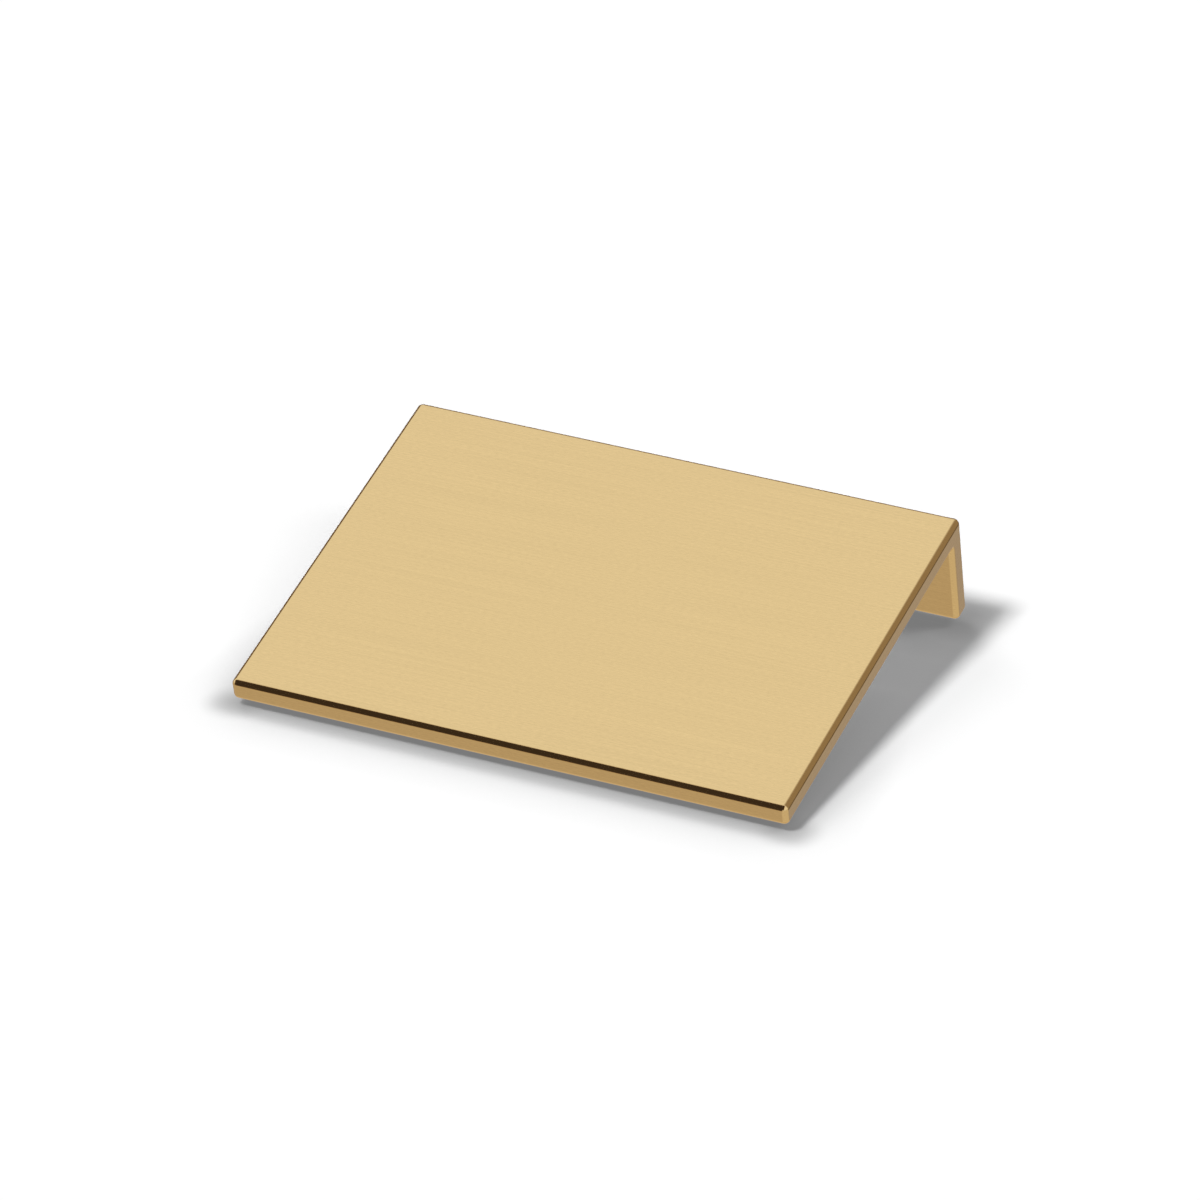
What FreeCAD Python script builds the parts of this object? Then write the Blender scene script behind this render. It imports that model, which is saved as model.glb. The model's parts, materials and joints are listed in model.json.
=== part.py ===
import FreeCAD, Part
import math
import os

# Tab pull: an L-section bar that hooks over the top edge of a drawer front.
# The plate lies on the edge and stands out past the front as a finger tab.
# The leg hangs down the back and is held by two countersunk screws.
#
# Frame: the origin is midway between the screws, on the face of the leg that
# bears on the drawer front. X runs along the pull, -Y points out to the lip of
# the tab, and Z is up.

# Overall sizes, mm
length = 50.0
depth = 38.0
height = 10.0

# Section
plate_thickness = 2.0
leg_thickness = 2.0
edge_radius = 0.5
root_radius = 0.2

# Screw holes through the leg, countersunk from the back
screw_count = 2
screw_pitch = 32.0
screw_hole_diameter = 3.4
countersink_diameter = 6.0
countersink_angle = 90.0

# Faces of the section, with the screws halfway down the free leg
leg_reach = height - plate_thickness
seat_y = 0.0
back_y = seat_y + leg_thickness
lip_y = back_y - depth
foot_z = -leg_reach / 2
underside_z = leg_reach / 2
top_z = underside_z + plate_thickness

# Faces that meet at more than this angle make an edge that fingers feel
sharp_angle = math.radians(10)


def vector(x, y, z):
    return FreeCAD.Vector(x, y, z)


def sharp_bar():
    """The L section with square corners, extruded along the pull."""
    corners = [
        (lip_y, top_z),
        (back_y, top_z),
        (back_y, foot_z),
        (seat_y, foot_z),
        (seat_y, underside_z),
        (lip_y, underside_z),
    ]
    points = [vector(-length / 2, y, z) for y, z in corners]
    outline = Part.makePolygon(points + points[:1])
    return Part.Face(outline).extrude(vector(length, 0, 0))


def root_edge(bar):
    """The inner edge where the leg meets the underside of the plate."""
    root = vector(0, seat_y, underside_z)
    return min(bar.Edges, key=lambda edge: edge.CenterOfMass.distanceToPoint(root))


def is_sharp(bar, edge):
    """True where the two faces beside an edge meet at an angle, false where they run on."""
    middle = edge.valueAt((edge.FirstParameter + edge.LastParameter) / 2)
    normals = []
    for face in bar.ancestorsOfType(edge, Part.Face):
        u, v = face.Surface.parameter(middle)
        normals.append(face.normalAt(u, v))
    return normals[0].getAngle(normals[1]) > sharp_angle


def rounded_bar():
    """The bar with its root radius, and every outer edge and corner rounded for the fingers."""
    bar = sharp_bar()
    bar = bar.makeFillet(root_radius, [root_edge(bar)])
    outer_edges = [edge for edge in bar.Edges if is_sharp(bar, edge)]
    return bar.makeFillet(edge_radius, outer_edges)


def screw_hole(x):
    """A through hole with its countersink, open at both faces of the leg."""
    back = vector(0, 1, 0)
    hole_radius = screw_hole_diameter / 2
    sink_radius = countersink_diameter / 2
    sink_depth = (sink_radius - hole_radius) / math.tan(math.radians(countersink_angle / 2))
    hole = Part.makeCylinder(hole_radius, leg_thickness, vector(x, seat_y, 0), back)
    sink_start = vector(x, back_y - sink_depth, 0)
    sink = Part.makeCone(hole_radius, sink_radius, sink_depth, sink_start, back)
    return hole.fuse(sink)


def screw_places():
    """Centres of the screw row, spread evenly about the middle of the pull."""
    first = -screw_pitch * (screw_count - 1) / 2
    return [first + screw_pitch * i for i in range(screw_count)]


def tab_pull():
    pull = rounded_bar()
    for x in screw_places():
        pull = pull.cut(screw_hole(x))
    return pull


os.makedirs("parts", exist_ok=True)
tab_pull().exportStep("parts/tab_pull.step")
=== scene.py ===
import json
import math

import bmesh
import bpy
from mathutils import Matrix, Vector


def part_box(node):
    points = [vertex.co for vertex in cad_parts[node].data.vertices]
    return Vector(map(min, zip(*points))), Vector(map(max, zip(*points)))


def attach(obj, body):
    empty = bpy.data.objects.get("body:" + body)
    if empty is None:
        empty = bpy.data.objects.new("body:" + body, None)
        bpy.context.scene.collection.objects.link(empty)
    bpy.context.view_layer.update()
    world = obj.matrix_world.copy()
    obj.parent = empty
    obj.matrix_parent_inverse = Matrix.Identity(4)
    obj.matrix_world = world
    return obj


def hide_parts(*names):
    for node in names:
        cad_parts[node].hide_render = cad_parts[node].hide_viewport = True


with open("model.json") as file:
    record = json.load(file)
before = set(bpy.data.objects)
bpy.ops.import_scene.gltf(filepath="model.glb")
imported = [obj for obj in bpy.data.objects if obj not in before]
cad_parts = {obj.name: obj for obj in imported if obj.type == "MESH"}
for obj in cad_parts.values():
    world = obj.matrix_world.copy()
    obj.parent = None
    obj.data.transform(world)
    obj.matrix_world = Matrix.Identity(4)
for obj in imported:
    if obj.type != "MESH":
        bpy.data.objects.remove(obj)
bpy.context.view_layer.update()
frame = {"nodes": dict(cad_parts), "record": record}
print("frame loaded:", ", ".join(frame["nodes"]))

mm = 0.001
scene = bpy.context.scene
scene.view_settings.view_transform = "Standard"

# From the frame: the pull's box, its screws, and the two faces that bear on a drawer front
low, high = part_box("tab_pull")
mounts = {mount["name"]: mount for mount in frame["record"]["mounts"]}
screwHoles = mounts["screw_holes"]["dims"]
screwPitch = screwHoles["spacing_x_mm"] * mm
seatY = mounts["leg_seat"]["pos_m"][1]
undersideZ = mounts["plate_seat"]["pos_m"][2]


# Small helpers for objects and meshes

def addObject(name, data):
    thing = bpy.data.objects.new(name, data)
    scene.collection.objects.link(thing)
    return thing


def meshFrom(shape, name):
    mesh = bpy.data.meshes.new(name)
    shape.to_mesh(mesh)
    shape.free()
    return mesh


# Small helpers for node trees

def grey(level):
    return (level, level, level, 1.0)


def setInput(tree, socket, value):
    if isinstance(value, bpy.types.NodeSocket):
        tree.links.new(value, socket)
    else:
        socket.default_value = value


def addNode(tree, kind, inputs=None, **settings):
    node = tree.nodes.new(kind)
    for name, value in settings.items():
        setattr(node, name, value)
    for name, value in (inputs or {}).items():
        setInput(tree, node.inputs[name], value)
    return node


def nodeOut(tree, kind, inputs=None, **settings):
    return addNode(tree, kind, inputs, **settings).outputs[0]


def mathNode(tree, operation, first, second=0.0):
    return nodeOut(tree, "ShaderNodeMath", {0: first, 1: second}, operation=operation)


def vectorNode(tree, operation, first, second=(0, 0, 0), result="Vector"):
    node = addNode(tree, "ShaderNodeVectorMath", {0: first, 1: second}, operation=operation)
    return node.outputs[result]


def vectorOf(tree, x=0.0, y=0.0, z=0.0):
    return nodeOut(tree, "ShaderNodeCombineXYZ", {0: x, 1: y, 2: z})


def axesOf(tree, vector):
    return addNode(tree, "ShaderNodeSeparateXYZ", {0: vector}).outputs


def flatLength(tree, first, second):
    return vectorNode(tree, "LENGTH", vectorOf(tree, first, second), result="Value")


def ramp(tree, value, fromLow, fromHigh, toLow=0.0, toHigh=1.0):
    ends = {0: value, 1: fromLow, 2: fromHigh, 3: toLow, 4: toHigh}
    return nodeOut(tree, "ShaderNodeMapRange", ends, interpolation_type="SMOOTHSTEP")


# Where a Mix node keeps its first side, its second side and its result
mixSockets = {"RGBA": (6, 7, 2), "VECTOR": (4, 5, 1)}


def mixNode(tree, share, first, second, kind="RGBA"):
    firstSide, secondSide, result = mixSockets[kind]
    sides = {0: share, firstSide: first, secondSide: second}
    return addNode(tree, "ShaderNodeMix", sides, data_type=kind).outputs[result]


def objectPlace(tree):
    return addNode(tree, "ShaderNodeTexCoord").outputs["Object"]


def newTree(name, kind, inputs, outputs):
    tree = bpy.data.node_groups.new(name, kind)
    for way, sockets in (("INPUT", inputs), ("OUTPUT", outputs)):
        for label, socketKind in sockets.items():
            tree.interface.new_socket(label, in_out=way, socket_type="NodeSocket" + socketKind)
    return tree, addNode(tree, "NodeGroupInput").outputs


def newShapeTree(name, inputs):
    geometry = {"Geometry": "Geometry"}
    tree, given = newTree(name, "GeometryNodeTree", {**geometry, **inputs}, geometry)
    tree.is_modifier = True
    return tree, given


def addShapeTree(piece, tree, values):
    modifier = piece.modifiers.new(tree.name, "NODES")
    modifier.node_group = tree
    for item in tree.interface.items_tree:
        if item.in_out == "INPUT" and item.name in values:
            modifier[item.identifier] = values[item.name]


# Brushed gold, and turned gold in the screw holes

brushGrain = {"Scale": 1.0, "Detail": 2.0, "Roughness": 0.6}    # noise that is drawn out into lines
goldFinish = {
    "colour": (0.736, 0.548, 0.271),
    "lineTint": 0.23,             # how far a brush line lightens or darkens the colour
    "lineRange": (0.2, 0.8),      # strength of the lines that are smoothest and roughest
    "roughness": (0.10, 0.18),    # of those lines
    "bumpHeight": 0.0015 * mm,
    # Brush marks: width, length and weight, the weights adding up to 1
    "marks": {
        "lines": (0.12 * mm, 25 * mm, 0.38),
        "bands": (0.7 * mm, 120 * mm, 0.06),
        "dashes": (0.10 * mm, 0.5 * mm, 0.56),
    },
}
turnedFinish = {
    "ringWidth": 0.07 * mm,       # tool marks round the screw holes
    "ringLength": 40 * mm,
    "roughness": (0.18, 0.30),
    "bumpHeight": 0.004 * mm,
}


def brushGrainTree():
    tree, given = newTree("brushGrain", "ShaderNodeTree",
                          {"Vector": "Vector", "Line Width": "Float", "Line Length": "Float",
                           "Crossed": "Float"},
                          {"Lines": "Float"})
    across = mathNode(tree, "DIVIDE", 1.0, given["Line Width"])
    along = mathNode(tree, "DIVIDE", 1.0, given["Line Length"])
    # Lines run along X, or along Y where Crossed is 1
    lengthwise = vectorOf(tree, along, across, across)
    crosswise = vectorOf(tree, across, along, across)
    scale = mixNode(tree, given["Crossed"], lengthwise, crosswise, "VECTOR")
    stretched = vectorNode(tree, "MULTIPLY", given["Vector"], scale)
    lines = nodeOut(tree, "ShaderNodeTexNoise", {"Vector": stretched, **brushGrain})
    addNode(tree, "NodeGroupOutput", {"Lines": lines})
    return tree


grainTree = brushGrainTree()


def grainLines(tree, place, width, length, crossed=0.0):
    values = {"Vector": place, "Line Width": width, "Line Length": length, "Crossed": crossed}
    return nodeOut(tree, "ShaderNodeGroup", values, node_tree=grainTree)


def brushedLines(tree):
    place = objectPlace(tree)
    crossed = addNode(tree, "ShaderNodeAttribute", attribute_name="endFace").outputs["Fac"]
    total = 0.0
    for width, length, weight in goldFinish["marks"].values():
        lines = grainLines(tree, place, width, length, crossed)
        total = mathNode(tree, "ADD", total, mathNode(tree, "MULTIPLY", lines, weight))
    return total


def turnedRings(tree):
    # Rings follow the distance from the axis of the nearer screw hole
    axes = axesOf(tree, objectPlace(tree))
    aside = mathNode(tree, "SUBTRACT", mathNode(tree, "ABSOLUTE", axes[0]), screwPitch / 2)
    radius = flatLength(tree, aside, axes[2])
    return grainLines(tree, vectorOf(tree, y=radius), turnedFinish["ringWidth"], turnedFinish["ringLength"])


def goldTint(change):
    return (*[channel * (1 + change) for channel in goldFinish["colour"]], 1.0)


def goldMaterial(name, finish, pattern):
    material = bpy.data.materials.new(name)
    material.use_nodes = True
    tree = material.node_tree
    shader = tree.nodes["Principled BSDF"]
    lines = pattern(tree)
    colour = mixNode(tree, lines, goldTint(-goldFinish["lineTint"]), goldTint(goldFinish["lineTint"]))
    roughness = ramp(tree, lines, *goldFinish["lineRange"], *finish["roughness"])
    bump = {"Strength": 1.0, "Distance": finish["bumpHeight"], "Height": lines}
    setInput(tree, shader.inputs["Base Color"], colour)
    setInput(tree, shader.inputs["Roughness"], roughness)
    setInput(tree, shader.inputs["Normal"], nodeOut(tree, "ShaderNodeBump", bump))
    shader.inputs["Metallic"].default_value = 1.0
    return material


brushedGold = goldMaterial("brushedGold", goldFinish, brushedLines)
turnedGold = goldMaterial("turnedGold", turnedFinish, turnedRings)
print("materials made")


# Tab pull: an L section drawn along X, rounded on every edge, with two screw holes

tabPull = {
    "edgeRadius": 0.5 * mm,
    "rootRadius": 0.2 * mm,
    "arcSteps": 10,             # faces in a quarter turn
    "rimShare": 0.999,          # of the edge radius at the ends, because all of it would fold the corners
    "rimAngle": 60,             # degrees past which an edge at the ends is rounded
    "weld": 0.002 * mm,         # points closer than this become one
    "countersink": 6.0 * mm,    # diameter at the back of the leg
    "holeSteps": 72,
    "toolSpare": 0.5 * mm,      # how far the drill stands out of the leg
    "deburr": 0.06 * mm,        # the edge broken round each hole
    "deburrSteps": 3,
    "deburrAngle": 35,
    "endTurn": (0.6, 0.9),      # how far a face points sideways where brush lines turn across it
    "flatWeight": 100,          # keeps the large faces flat up to their rounded edges
}


def sectionOutline():
    # Corners of the L in Y and Z, from the lower corner of the lip, each with its radius
    edge, root = tabPull["edgeRadius"], tabPull["rootRadius"]
    corners = [(low.y, undersideZ, edge), (seatY, undersideZ, root), (seatY, low.z, edge),
               (high.y, low.z, edge), (high.y, high.z, edge), (low.y, high.z, edge)]
    shape = bmesh.new()
    radius = shape.verts.layers.float.new("cornerRadius")
    points = []
    for y, z, cornerRadius in corners:
        point = shape.verts.new((y, z, 0))
        point[radius] = cornerRadius
        points.append(point)
    for start, end in zip(points, points[1:] + points[:1]):
        shape.edges.new((start, end))
    return meshFrom(shape, "tabPull")


def finished(tree, geometry, finish):
    smooth = nodeOut(tree, "GeometryNodeSetShadeSmooth", {"Geometry": geometry})
    whole = nodeOut(tree, "GeometryNodeRealizeInstances", {"Geometry": smooth})
    return nodeOut(tree, "GeometryNodeSetMaterial", {"Geometry": whole, "Material": finish})


def barTree():
    tree, given = newShapeTree("roundedBar", {"Length": "Float", "Arc Steps": "Int", "Finish": "Material"})
    outline = nodeOut(tree, "GeometryNodeMeshToCurve", {"Mesh": given["Geometry"]})
    radius = nodeOut(tree, "GeometryNodeInputNamedAttribute", {"Name": "cornerRadius"})
    corners = {"Curve": outline, "Radius": radius, "Count": given["Arc Steps"]}
    section = nodeOut(tree, "GeometryNodeFilletCurve", corners, mode="POLY")
    leftEnd = vectorOf(tree, mathNode(tree, "MULTIPLY", given["Length"], -0.5))
    rightEnd = vectorOf(tree, mathNode(tree, "MULTIPLY", given["Length"], 0.5))
    path = nodeOut(tree, "GeometryNodeCurvePrimitiveLine", {"Start": leftEnd, "End": rightEnd})
    sweep = {"Curve": path, "Profile Curve": section, "Fill Caps": True}
    bar = nodeOut(tree, "GeometryNodeCurveToMesh", sweep)
    # The sweep lays the section upside down
    upright = nodeOut(tree, "GeometryNodeTransform", {"Geometry": bar, "Rotation": (math.pi, 0, 0)})
    addNode(tree, "NodeGroupOutput", {"Geometry": finished(tree, upright, given["Finish"])})
    return tree


def holeTool():
    # One hole along Y, with a 90 degree countersink as deep as its radius grows
    bore = screwHoles["hole_r_mm"] * mm
    mouth = tabPull["countersink"] / 2
    front = seatY - tabPull["toolSpare"]
    back = high.y + tabPull["toolSpare"]
    profile = [(0, front), (bore, front), (bore, high.y - (mouth - bore)),
               (mouth + tabPull["toolSpare"], back), (0, back)]
    shape = bmesh.new()
    points = [shape.verts.new((radius, y, 0)) for radius, y in profile]
    edges = [shape.edges.new(pair) for pair in zip(points, points[1:])]
    bmesh.ops.spin(shape, geom=points + edges, cent=(0, 0, 0), axis=(0, 1, 0), angle=math.tau,
                   steps=tabPull["holeSteps"])
    bmesh.ops.remove_doubles(shape, verts=shape.verts, dist=tabPull["weld"])
    bmesh.ops.recalc_face_normals(shape, faces=shape.faces)
    return addObject("holeTool", meshFrom(shape, "holeTool"))


def stored(tree, geometry, name, value, domain):
    values = {"Geometry": geometry, "Name": name, "Value": value}
    return nodeOut(tree, "GeometryNodeStoreNamedAttribute", values, domain=domain)


def screwHoleTree():
    tree, given = newShapeTree("screwHoles", {"Tool": "Object", "Count": "Int", "Pitch": "Float",
                                              "Finish": "Material", "Hole Finish": "Material"})
    # The tools stand in a row about the middle of the pull
    gaps = mathNode(tree, "SUBTRACT", given["Count"], 1.0)
    span = mathNode(tree, "MULTIPLY", gaps, given["Pitch"])
    row = {"Count": given["Count"], "Offset": vectorOf(tree, given["Pitch"]),
           "Start Location": vectorOf(tree, mathNode(tree, "MULTIPLY", span, -0.5))}
    places = nodeOut(tree, "GeometryNodeMeshLine", row)
    tool = addNode(tree, "GeometryNodeObjectInfo", {"Object": given["Tool"]}).outputs["Geometry"]
    tools = nodeOut(tree, "GeometryNodeInstanceOnPoints", {"Points": places, "Instance": tool})
    cutters = nodeOut(tree, "GeometryNodeRealizeInstances", {"Geometry": tools})
    cut = {"Mesh 1": given["Geometry"], "Mesh 2": stored(tree, cutters, "holeWall", 1.0, "FACE")}
    drilled = nodeOut(tree, "GeometryNodeMeshBoolean", cut, operation="DIFFERENCE", solver="EXACT")
    # Brush lines turn across the two ends
    normal = nodeOut(tree, "GeometryNodeInputNormal")
    sideways = mathNode(tree, "ABSOLUTE", axesOf(tree, normal)[0])
    lined = stored(tree, drilled, "endFace", ramp(tree, sideways, *tabPull["endTurn"]), "POINT")
    inHole = nodeOut(tree, "GeometryNodeInputNamedAttribute", {"Name": "holeWall"})
    walls = {"Geometry": finished(tree, lined, given["Finish"]), "Selection": inHole,
             "Material": given["Hole Finish"]}
    addNode(tree, "NodeGroupOutput", {"Geometry": nodeOut(tree, "GeometryNodeSetMaterial", walls)})
    return tree


def roundEdges(piece, name, width, steps, angle):
    bevel = piece.modifiers.new(name, "BEVEL")
    bevel.width = width
    bevel.segments = steps
    bevel.limit_method = "ANGLE"
    bevel.angle_limit = math.radians(angle)
    bevel.use_clamp_overlap = False


def makePlain(piece):
    bpy.context.view_layer.update()
    seen = piece.evaluated_get(bpy.context.evaluated_depsgraph_get())
    mesh = bpy.data.meshes.new_from_object(seen)
    piece.modifiers.clear()
    piece.data = mesh


def makeTabPull(finish, holeFinish):
    piece = addObject("tabPull", sectionOutline())
    addShapeTree(piece, barTree(), {"Length": high.x - low.x, "Arc Steps": tabPull["arcSteps"],
                                    "Finish": finish})
    rimRadius = tabPull["edgeRadius"] * tabPull["rimShare"]
    roundEdges(piece, "endRims", rimRadius, tabPull["arcSteps"], tabPull["rimAngle"])
    corners = piece.modifiers.new("corners", "WELD")
    corners.merge_threshold = tabPull["weld"]
    tool = holeTool()
    addShapeTree(piece, screwHoleTree(), {"Tool": tool, "Count": screwHoles["count"], "Pitch": screwPitch,
                                          "Finish": finish, "Hole Finish": holeFinish})
    roundEdges(piece, "holeRims", tabPull["deburr"], tabPull["deburrSteps"], tabPull["deburrAngle"])
    flats = piece.modifiers.new("flats", "WEIGHTED_NORMAL")
    flats.weight = tabPull["flatWeight"]
    makePlain(piece)
    bpy.data.objects.remove(tool)
    return piece


pull = makeTabPull(brushedGold, turnedGold)
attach(pull, "root")
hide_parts("tab_pull")
print("tab pull:", len(pull.data.vertices), "points,", len(pull.data.polygons), "faces")


# Floor: the pull lies on the lip of its plate and the foot of its leg

edgeRadius = tabPull["edgeRadius"]
lipCentre = Vector((0, low.y + edgeRadius, undersideZ + edgeRadius))
footCentre = Vector((0, seatY + edgeRadius, low.z + edgeRadius))
floorSlope = (footCentre - lipCentre).normalized()
floorUp = Vector((1, 0, 0)).cross(floorSlope)
floorTilt = math.atan2(floorSlope.z, floorSlope.y)

floorLook = {
    "size": 3.0,                # metres
    "colour": 0.85,
    "drop": 0.7 * mm,           # the floor lies a little under the pull
    "paintedOcclusionReach": 6.0 * mm,          # how far from the pull painted occlusion shade darkens the floor's colour under it
    "paintedCornerShadeReach": 3.3 * mm,    # how far the painted shade reaches from the corners that the pull rests on
    "paintedCornerShadeDepth": 0.44,        # how much darker the painted shade makes the floor there
    "shade": 0.195,             # grey that is left in the deepest shadow
}


def paintedCornerShade(tree):
    # Painted shade: a share of the floor's colour that grows with the distance from the nearest corner,
    # beside the lip or along the foot, so the floor is painted darker round the corners that the pull rests
    # on
    offset = vectorNode(tree, "SUBTRACT", objectPlace(tree), lipCentre)
    aside = mathNode(tree, "SUBTRACT", mathNode(tree, "ABSOLUTE", axesOf(tree, offset)[0]), high.x)
    fromLip = vectorNode(tree, "DOT_PRODUCT", offset, floorSlope, "Value")
    footStart = (footCentre - lipCentre).length
    footEnd = footStart + high.y - seatY
    onFoot = nodeOut(tree, "ShaderNodeClamp", {0: fromLip, 1: footStart, 2: footEnd})
    fromFoot = mathNode(tree, "SUBTRACT", fromLip, onFoot)
    nearest = mathNode(tree, "MINIMUM", flatLength(tree, aside, fromLip), flatLength(tree, aside, fromFoot))
    return ramp(tree, nearest, 0.0, floorLook["paintedCornerShadeReach"], 1 - floorLook["paintedCornerShadeDepth"], 1.0)


def floorMaterial():
    material = bpy.data.materials.new("paleFloor")
    material.use_nodes = True
    tree = material.node_tree
    tree.nodes.clear()
    # The floor's colour is painted darker round the corners that the pull rests on
    paleWithPaintedShade = mixNode(tree, paintedCornerShade(tree), grey(0.0), grey(floorLook["colour"]))
    # Painted shade: the floor's colour is darkened where the pull hides the room nearby, on top of the
    # lamps' own shadows
    paintedOcclusionColour = nodeOut(tree, "ShaderNodeAmbientOcclusion", {"Color": paleWithPaintedShade, "Distance": floorLook["paintedOcclusionReach"]})
    paint = nodeOut(tree, "ShaderNodeBsdfDiffuse", {"Color": paintedOcclusionColour})
    # A little white light keeps the deepest shadow grey
    white = nodeOut(tree, "ShaderNodeEmission")
    seen = addNode(tree, "ShaderNodeLightPath").outputs["Is Camera Ray"]
    shade = mathNode(tree, "MULTIPLY", seen, floorLook["shade"])
    lit = nodeOut(tree, "ShaderNodeMixShader", {0: shade, 1: paint, 2: white})
    # Seen from below, the floor is not there
    below = addNode(tree, "ShaderNodeNewGeometry").outputs["Backfacing"]
    clear = nodeOut(tree, "ShaderNodeBsdfTransparent")
    surface = nodeOut(tree, "ShaderNodeMixShader", {0: below, 1: lit, 2: clear})
    addNode(tree, "ShaderNodeOutputMaterial", {"Surface": surface})
    return material


def makeFloor():
    middle = lipCentre - floorUp * (edgeRadius + floorLook["drop"])
    place = Matrix.Translation(middle) @ Matrix.Rotation(floorTilt, 4, "X")
    shape = bmesh.new()
    bmesh.ops.create_grid(shape, x_segments=1, y_segments=1, size=floorLook["size"] / 2, matrix=place)
    floor = addObject("floor", meshFrom(shape, "floor"))
    floor.data.materials.append(floorMaterial())
    floor.visible_glossy = False


makeFloor()
print("floor laid")


# Room that the metal mirrors. After a colour stands where it begins and where it is full,
# as the share of a direction that points right, back or up
studio = {
    "fill": 0.01,                          # even light on the floor beside the lamps
    "sky": (1.0, 1.0, 1.0),
    "horizon": (-0.08, 0.08),
    "ground": (0.61, 0.525, 0.425),
    "groundRight": (0.76, 0.68, 0.56),
    "toRight": (-0.29, -0.05),
    "groundBack": (0.46, 0.41, 0.385),
    "toBack": (0.12, 0.58),
    "groundLeft": (0.35, 0.25, 0.18),      # behind on the left
    "toLeft": (0.1, -0.3),
    "groundBelow": (0.72, 0.61, 0.47),
    "toBelow": (-0.72, -0.83),
    "wall": (0.36, 0.28, 0.20),            # behind, low on the left and high on the right
    "wallLeft": (0.20, 0.14, 0.085),
    "toWallLeft": (-0.28, -0.50),
    "wallBack": (0.2, 0.5),
    "wallTop": (0.36, 0.28),
    "wallRise": (-0.18, 0.32),
    "wallFoot": (-0.60, -0.53),
    "skirting": (0.15, 0.11, 0.073),
    "skirtingTop": (-0.27, -0.36),
    "flag": (0.053, 0.038, 0.030),
    "flagArc": (-10, 105),                 # degrees from overhead down to the front
    "flagLeft": -0.80,
    "flagRight": (0.50, -0.10),            # overhead and at the front
    "flagTurn": (72, 90),                  # degrees over which its right side draws in
    "flagSoft": 0.13,
    "flagRim": (0.40, 0.25, 0.13),
    "rimShare": 0.5,                       # of the flag's soft edge
}


def colour4(name):
    return (*studio[name], 1.0)


def zone(tree, value, name):
    return ramp(tree, value, *studio[name])


def product(tree, first, *others):
    total = first
    for value in others:
        total = mathNode(tree, "MULTIPLY", total, value)
    return total


def pastEdge(tree, value, edge):
    beyond = mathNode(tree, "SUBTRACT", value, edge)
    return ramp(tree, beyond, -studio["flagSoft"], studio["flagSoft"])


def between(tree, value, start, end):
    return mathNode(tree, "SUBTRACT", pastEdge(tree, value, start), pastEdge(tree, value, end))


def flagMask(tree, right, back, up):
    # Runs from overhead down to the front, and is narrower there
    arc = mathNode(tree, "ARCTAN2", mathNode(tree, "MULTIPLY", back, -1.0), up)
    overhead, front = [math.radians(angle) for angle in studio["flagArc"]]
    turn = [math.radians(angle) for angle in studio["flagTurn"]]
    rightSide = ramp(tree, arc, *turn, *studio["flagRight"])
    inArc = between(tree, arc, overhead, front)
    return product(tree, inArc, between(tree, right, studio["flagLeft"], rightSide))


def roomColour(tree):
    direction = addNode(tree, "ShaderNodeTexCoord").outputs["Generated"]
    right, back, up = axesOf(tree, direction)
    # Ground: warm in front, lighter to the right, darker behind
    behind = mixNode(tree, zone(tree, right, "toLeft"), colour4("groundBack"), colour4("groundLeft"))
    ground = mixNode(tree, zone(tree, right, "toRight"), colour4("ground"), colour4("groundRight"))
    ground = mixNode(tree, zone(tree, back, "toBack"), ground, behind)
    ground = mixNode(tree, zone(tree, up, "toBelow"), ground, colour4("groundBelow"))
    room = mixNode(tree, zone(tree, up, "horizon"), ground, colour4("sky"))
    # Brown wall behind, dark at its foot and on the left
    wall = mixNode(tree, zone(tree, up, "skirtingTop"), colour4("wall"), colour4("skirting"))
    wall = mixNode(tree, zone(tree, right, "toWallLeft"), wall, colour4("wallLeft"))
    topped = mathNode(tree, "MAXIMUM", zone(tree, up, "wallTop"), zone(tree, right, "wallRise"))
    wallArea = product(tree, topped, zone(tree, back, "wallBack"), zone(tree, up, "wallFoot"))
    room = mixNode(tree, wallArea, room, wall)
    # Black flag with a brown rim
    flag = flagMask(tree, right, back, up)
    room = mixNode(tree, ramp(tree, flag, 0.0, studio["rimShare"]), room, colour4("flagRim"))
    return mixNode(tree, ramp(tree, flag, studio["rimShare"], 1.0), room, colour4("flag"))


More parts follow.
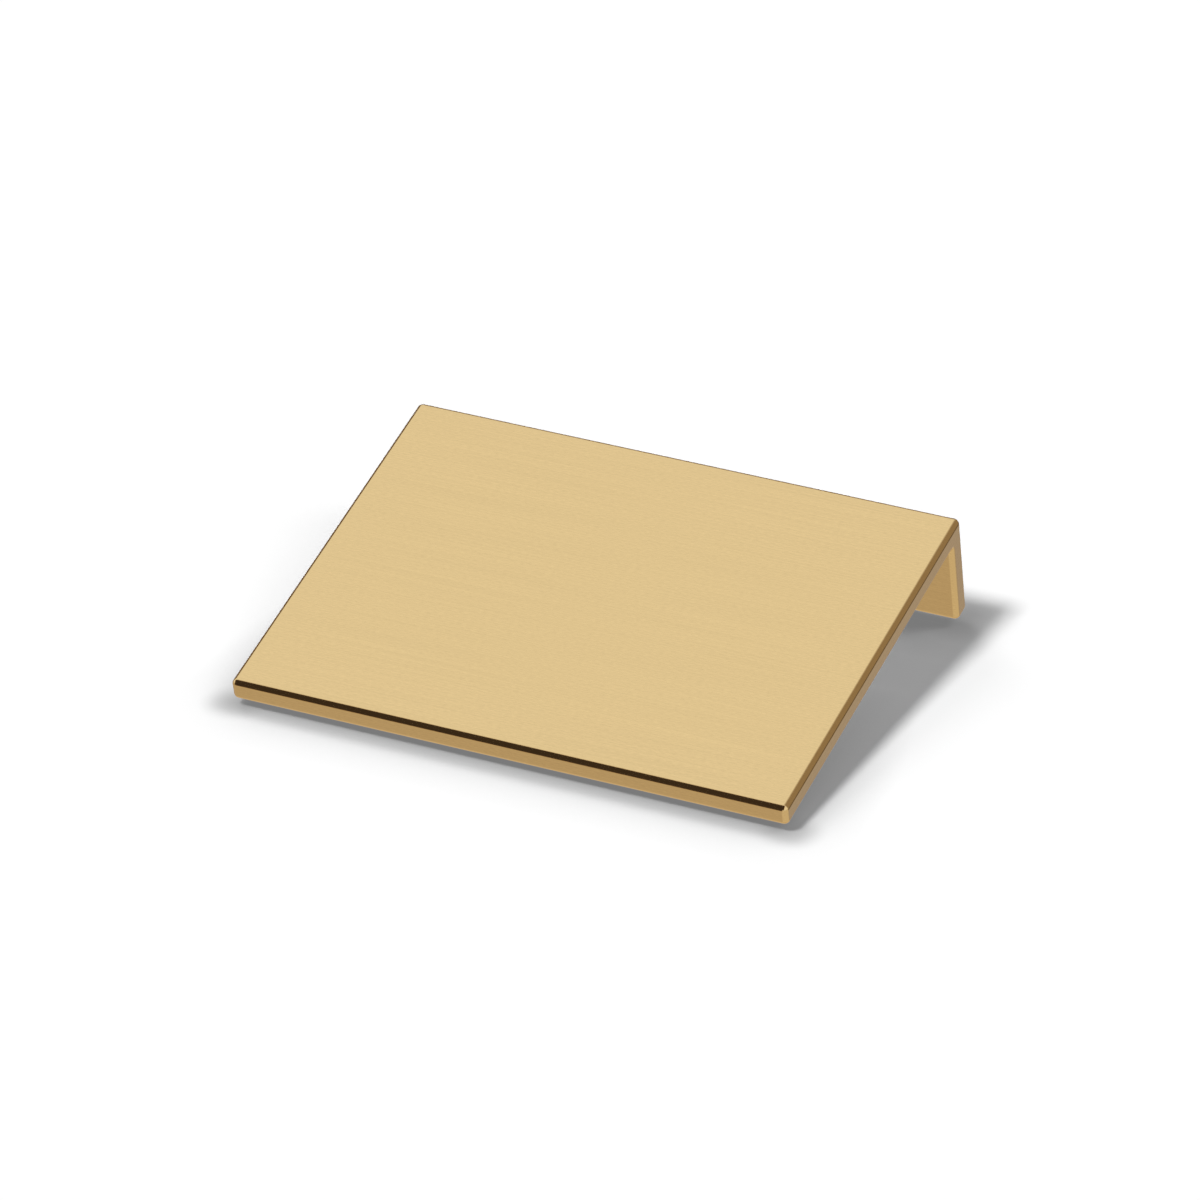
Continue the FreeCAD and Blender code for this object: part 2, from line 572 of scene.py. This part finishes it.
def makeWorld():
    world = bpy.data.worlds.new("studio")
    scene.world = world
    world.use_nodes = True
    world.cycles.sampling_method = "NONE"    # the lamps light the floor, not the room
    tree = world.node_tree
    tree.nodes.clear()
    path = addNode(tree, "ShaderNodeLightPath").outputs
    # The metal mirrors the room, and the floor gets none of it back off the metal
    bounced = mathNode(tree, "MINIMUM", path["Diffuse Depth"], 1.0)
    room = mixNode(tree, bounced, roomColour(tree), grey(0.0))
    mirrored = mathNode(tree, "MAXIMUM", path["Is Glossy Ray"], path["Is Transmission Ray"])
    shown = mixNode(tree, mirrored, grey(studio["fill"]), room)
    shown = mixNode(tree, path["Is Camera Ray"], shown, colour4("sky"))
    light = nodeOut(tree, "ShaderNodeBackground", {"Color": shown, "Strength": 1.0})
    addNode(tree, "ShaderNodeOutputWorld", {"Surface": light})


makeWorld()
print("room painted")


# Each lamp's share of the light on the floor, its width in degrees,
# and how far its shadow runs to the right and to the back for each unit of height
lamps = {
    "keyLamp": {"share": 0.74, "spread": 13, "shadowRight": 0.31, "shadowBack": 0.55},
    "backLamp": {"share": 0.13, "spread": 23, "shadowRight": 0.71, "shadowBack": -0.47},
    "sideLamp": {"share": 0.14, "spread": 24, "shadowRight": -0.78, "shadowBack": -0.38},
}


def makeLamp(name, share, spread, shadowRight, shadowBack):
    towards = floorUp - Vector((shadowRight, 0, 0)) - floorSlope * shadowBack
    sun = bpy.data.lights.new(name, "SUN")
    sun.energy = share * math.pi * towards.length / floorLook["colour"]
    sun.angle = math.radians(spread)
    lamp = addObject(name, sun)
    lamp.rotation_mode = "QUATERNION"
    lamp.rotation_quaternion = towards.to_track_quat("Z", "Y")
    lamp.visible_glossy = False


for lampName, values in lamps.items():
    makeLamp(lampName, **values)
print("floor lit by", len(lamps), "lamps")


# Camera of the photo: where it stands, where it looks, and which way is down in the picture
photoCamera = {
    "place": (244.025 * mm, -480.200 * mm, 457.184 * mm),
    "aim": (-0.35275, 0.67023, -0.65296),
    "down": (0.20363, -0.62611, -0.75268),
    "lens": 249.1,
    "sensor": 36.0,
}


def makeCamera():
    data = bpy.data.cameras.new("camera")
    data.lens = photoCamera["lens"]
    data.sensor_width = photoCamera["sensor"]
    camera = addObject("camera", data)
    back = -Vector(photoCamera["aim"]).normalized()
    right = back.cross(Vector(photoCamera["down"])).normalized()
    turn = Matrix((right, back.cross(right), back)).transposed().to_4x4()
    camera.matrix_world = Matrix.Translation(photoCamera["place"]) @ turn
    scene.camera = camera


makeCamera()
print("camera placed")
